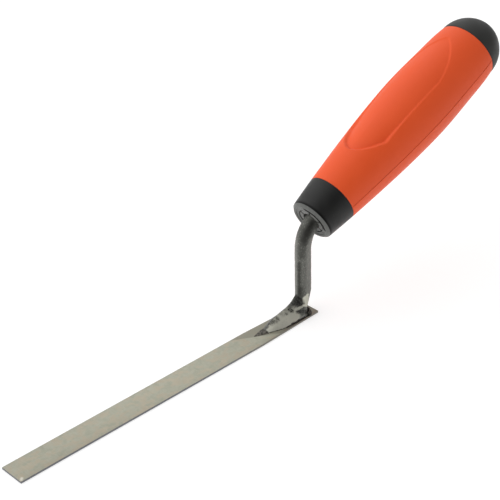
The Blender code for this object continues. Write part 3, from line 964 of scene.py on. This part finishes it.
def bar_loops():
    """Round bar: up from the foot, round the bend and up the handle's axis to its tapered tail."""
    turn = math.pi / 2 - HANDLE_ANGLE
    corner_z = HANDLE_FRONT.z + HANDLE_FRONT.x * math.tan(HANDLE_ANGLE)
    bend_start = corner_z - TANG_BEND_RADIUS * math.tan(turn / 2)
    forward = Vector((1.0, 0.0, 0.0))
    loops = []
    for z in steps(BLADE_TOP, bend_start, 30)[:-1]:
        inset = max(0.0, HEEL_RELIEF_TOP - z) * HEEL_RELIEF_SLOPE / 2
        loops.append(ring_at(Vector((inset, 0.0, z)), forward, TANG_RADIUS - inset, TANG_RADIUS))
    for tilt in steps(0.0, turn, 16):
        x = TANG_BEND_RADIUS * (math.cos(tilt) - 1.0)
        z = bend_start + TANG_BEND_RADIUS * math.sin(tilt)
        outward = Vector((math.cos(tilt), 0.0, math.sin(tilt)))
        loops.append(ring_at(Vector((x, 0.0, z)), outward, TANG_RADIUS, TANG_RADIUS))
    for s, radius in ((TANG_STRAIGHT_END, TANG_RADIUS), (TANG_TAIL_END, TANG_TAIL_RADIUS)):
        loops.append(ring_at(HANDLE_FRONT + ALONG * s, TOP, radius, radius))
    return loops


def foot_section(x):
    """One section of the foot: a low wall and a ground slope on its left, a round forged right side."""
    near = float(smooth_value(FOOT_NEAR_EDGE, x))
    far = float(smooth_value(FOOT_FAR_EDGE, x))
    height = float(smooth_value(FOOT_HEIGHT, x))
    wall = min(float(smooth_value(FOOT_WALL, x)), 0.6 * height)
    section = [(near, 0.0), (near, 0.5 * wall)]
    for t in steps(0.0, 1.0, FOOT_SIDE_STEPS):
        y = near + (FOOT_RIDGE - near) * t
        section.append((y, wall + (height - wall) * t + FOOT_BULGE * math.sin(math.pi * t)))
    for t in steps(0.0, 1.0, FOOT_SIDE_STEPS)[1:]:
        section.append((FOOT_RIDGE - (FOOT_RIDGE + far) * t, height * (1.0 - t) ** FOOT_FAR_POWER))
    return [Vector((x * MM, y * MM, BLADE_TOP + z * MM)) for y, z in section]


def build_tang(material):
    """Bar and foot fused into one forged skin, then ground flat at the heel."""
    bar = loose_object("bar", lofted("bar", bar_loops()))
    sections = [foot_section(x) for x in steps(*FOOT_LENGTH, FOOT_SECTIONS)]
    foot = loose_object("foot", lofted("foot", sections))
    add_boolean(bar, "UNION", foot)
    apply_modifiers(bar)
    discard(foot)
    mesh = one_skin("forged_tang", bar, TANG_VOXEL, TANG_SMOOTHING)
    bm = bmesh.new()
    bm.from_mesh(mesh)
    bm.normal_update()
    for vert in bm.verts:
        was = vert.co / MM
        lump = noise.fractal(was * 0.45, 1.0, 2.0, 3) + 0.45 * noise.noise(was * 1.9)
        vert.co += vert.normal * (FORGING_DEPTH * lump)
        beyond = (vert.co - HEEL_GRIND_POINT).dot(HEEL_GRIND_NORMAL)
        if beyond > 0.0 and was.z * MM < HEEL_GRIND_TOP:
            share = float(smoothstep(*HEEL_GRIND_BASE, vert.co.z))
            vert.co -= HEEL_GRIND_NORMAL * (beyond * share)
        vert.co.z = max(vert.co.z, BLADE_TOP + 0.02 * MM)
    bm.to_mesh(mesh)
    bm.free()
    mesh.shade_smooth()
    add_piece("forged_tang", mesh, material, "tang")


# ---------------------------------------------------------------- welds
WELD_SMOOTHING = 3
WELD_BASE = BLADE_TOP - 0.05 * MM
BEAD_PROFILE = ((-0.25, 0.0), (1.0, 0.0), (0.8, 0.45), (0.4, 0.8), (-0.25, 1.0))
HEEL_BEAD_CENTRE_X = 2.0 * MM
HEEL_BEAD_REACH = (4.0 * MM, 4.75 * MM)
HEEL_BEAD_SIZE = (1.15 * MM, 1.9 * MM)
# Each side bead: piece, side, the foot edge it follows, its width and height, and its CAD node.
SIDE_BEADS = (
    ("left_bead", 1.0, FOOT_NEAR_EDGE, 0.45 * MM, 0.35 * MM, "left_side_weld"),
    ("right_bead", -1.0, FOOT_FAR_EDGE, 1.0 * MM, 1.3 * MM, "right_side_weld"),
)
SIDE_BEAD_ENDS_MM = (3.4, 15.4)
# The toe patch in millimetres: place along the blade, half width and height.
TOE_START_MM = 24.6
TOE_STATIONS_MM = ((TOE_START_MM, 2.4, 0.9), (26.0, 2.2, 0.6), (28.5, 1.3, 0.3), (31.2, 0.3, 0.12))
TOE_SHAPE = ((-1.0, 0.0), (1.0, 0.0), (0.6, 1.0), (-0.6, 1.0))


def lumpy(name, mesh, voxel, depth, grain):
    """Fuses a rough blank into one skin and gives it the lumps of cooled weld metal."""
    made = one_skin(name, loose_object(name, mesh), voxel, WELD_SMOOTHING)
    bm = bmesh.new()
    bm.from_mesh(made)
    bm.normal_update()
    for vert in bm.verts:
        vert.co += vert.normal * (depth * noise.fractal(vert.co / MM * grain, 1.0, 2.0, 3))
        vert.co.z = max(vert.co.z, BLADE_TOP - 0.02 * MM)
    bm.to_mesh(made)
    bm.free()
    made.shade_smooth()
    return made


def bead_loops(path, width, height):
    """Sections of a bead along a path of (point, outward direction) pairs."""
    up = Vector((0.0, 0.0, 1.0))
    loops = []
    for point, outward in path:
        loops.append([point + outward * (o * width) + up * (u * height) for o, u in BEAD_PROFILE])
    return loops


def build_heel_bead(material):
    """Nearly half a ring of weld round the back of the foot."""
    path = []
    for angle in steps(math.radians(100), math.radians(260), 20):
        outward = Vector((math.cos(angle), math.sin(angle), 0.0))
        x = HEEL_BEAD_CENTRE_X + HEEL_BEAD_REACH[0] * outward.x
        path.append((Vector((x, HEEL_BEAD_REACH[1] * outward.y, WELD_BASE)), outward))
    mesh = lofted("heel_bead", bead_loops(path, *HEEL_BEAD_SIZE))
    mesh = lumpy("heel", mesh, voxel=0.14 * MM, depth=0.16 * MM, grain=1.3)
    add_piece("heel_bead", mesh, material, "heel_weld")


def build_side_beads(material):
    """A bead along each side of the foot, from beside the tang to well short of the toe."""
    for name, side, foot_edge, width, height, node in SIDE_BEADS:
        path = []
        for x in steps(*SIDE_BEAD_ENDS_MM, 12):
            y = side * float(smooth_value(foot_edge, x)) * MM
            path.append((Vector((x * MM, y, WELD_BASE)), Vector((0.0, side, 0.0))))
        mesh = lofted(name, bead_loops(path, width, height))
        mesh = lumpy(name, mesh, voxel=0.13 * MM, depth=0.10 * MM, grain=1.6)
        add_piece(name, mesh, material, node)


def build_toe_patch(material):
    """A low patch of weld that runs out to a point ahead of the foot."""
    loops = []
    for x, half_width, height in TOE_STATIONS_MM:
        middle = -0.2 - 0.1 * (x - TOE_START_MM)
        loop = [(x * MM, (middle + y * half_width) * MM, WELD_BASE + z * height * MM) for y, z in TOE_SHAPE]
        loops.append([Vector(point) for point in loop])
    mesh = lofted("toe_patch", loops)
    mesh = lumpy("toe", mesh, voxel=0.12 * MM, depth=0.12 * MM, grain=1.5)
    add_piece("toe_patch", mesh, material, "toe_weld")


# ---------------------------------------------------------------- stage, light and camera
CAMERA_AZIMUTH = math.radians(136.94)
CAMERA_ELEVATION = math.radians(30.86)
CAMERA_ROLL = math.radians(-1.488)
CAMERA_DISTANCE = 639.57 * MM
CAMERA_TARGET = Vector((33.155 * MM, 0.0, 48.39 * MM))
CAMERA_LENS = 104.67
SENSOR = 36.0
FLOOR_WHITENESS = 0.6
FLOOR_GLOW = 0.56
FLOOR_SIZE = 6.0
LIGHT_TIGHTNESS = 6.0
# Each light: degrees round from +X towards +Y, degrees up, and strength.
SOFT_LIGHTS = (
    (0.0, 18.0, 1.1),
    (120.0, 18.0, 0.48),
    (180.0, 18.0, 0.15),
    (240.0, 18.0, 0.78),
    (300.0, 18.0, 0.8),
    (150.0, 52.0, 0.1),
    (210.0, 52.0, 0.78),
    (270.0, 52.0, 0.38),
    (330.0, 52.0, 1.18),
)


def camera_back(azimuth, elevation):
    """The direction from the target to the camera. Azimuth 0 looks from -Y, and 90 degrees from +X."""
    level = math.cos(elevation)
    return Vector((math.sin(azimuth) * level, -math.cos(azimuth) * level, math.sin(elevation)))


def build_camera():
    data = bpy.data.cameras.new("camera")
    data.lens = CAMERA_LENS
    data.sensor_width = SENSOR
    data.clip_start = 0.01
    camera = bpy.data.objects.new("camera", data)
    bpy.context.scene.collection.objects.link(camera)
    back = camera_back(CAMERA_AZIMUTH, CAMERA_ELEVATION)
    right = Vector((math.cos(CAMERA_AZIMUTH), math.sin(CAMERA_AZIMUTH), 0.0))
    up = back.cross(right)
    turned_right = right * math.cos(CAMERA_ROLL) + up * math.sin(CAMERA_ROLL)
    turned_up = up * math.cos(CAMERA_ROLL) - right * math.sin(CAMERA_ROLL)
    matrix = Matrix((turned_right, turned_up, back)).transposed().to_4x4()
    matrix.translation = CAMERA_TARGET + back * CAMERA_DISTANCE
    camera.matrix_world = matrix
    bpy.context.scene.camera = camera


def build_floor():
    """White paper that glows a little, so that the shadows stay very faint."""
    bm = bmesh.new()
    bmesh.ops.create_grid(bm, x_segments=1, y_segments=1, size=FLOOR_SIZE / 2)
    mesh = mesh_from_bmesh("floor", bm)
    floor = loose_object("floor", mesh)
    made = Shader("paper_floor", roughness=0.9, specular=0.0)
    made.bsdf.inputs["Emission Color"].default_value = (1.0, 1.0, 1.0, 1.0)
    made.bsdf.inputs["Emission Strength"].default_value = FLOOR_GLOW
    mesh.materials.append(made.finish((FLOOR_WHITENESS,) * 3))


def build_world():
    """Large soft lights, each a smooth lobe. They are weakest on the camera's side."""
    world = bpy.data.worlds.new("soft_lights")
    world.use_nodes = True
    made = Nodes(world.node_tree)
    background = made.tree.nodes["Background"]
    background.inputs["Color"].default_value = (1.0, 1.0, 1.0, 1.0)
    place = made.node("ShaderNodeTexCoord").outputs["Generated"]
    total = 0.0
    for azimuth, elevation, strength in SOFT_LIGHTS:
        turn = math.radians(azimuth)
        level = math.cos(math.radians(elevation))
        rise = math.sin(math.radians(elevation))
        towards = Vector((math.cos(turn) * level, math.sin(turn) * level, rise))
        dot = made.vector("DOT_PRODUCT", place, towards)
        fall = made.math("MULTIPLY", made.math("SUBTRACT", dot, 1.0), LIGHT_TIGHTNESS)
        lobe = made.math("MULTIPLY", made.math("EXPONENT", fall), strength)
        total = made.math("ADD", lobe, total)
    made.plug(total, background.inputs["Strength"])
    bpy.context.scene.world = world


def build_stage():
    bpy.context.scene.view_settings.view_transform = "Standard"
    build_floor()
    build_world()


def main():
    build_camera()
    build_stage()
    weld = burnt_weld()
    build_blade(ground_steel())
    build_tang(forged_scale())
    build_heel_bead(weld)
    build_side_beads(weld)
    build_toe_patch(burnt_weld("toe_crust", 2.2))
    build_collar(black_plastic())
    build_liner(grey_liner())
    build_grip_sleeve(orange_rubber())
    build_butt_cap(black_plastic("cap_black", 0.024, 0.48))


main()
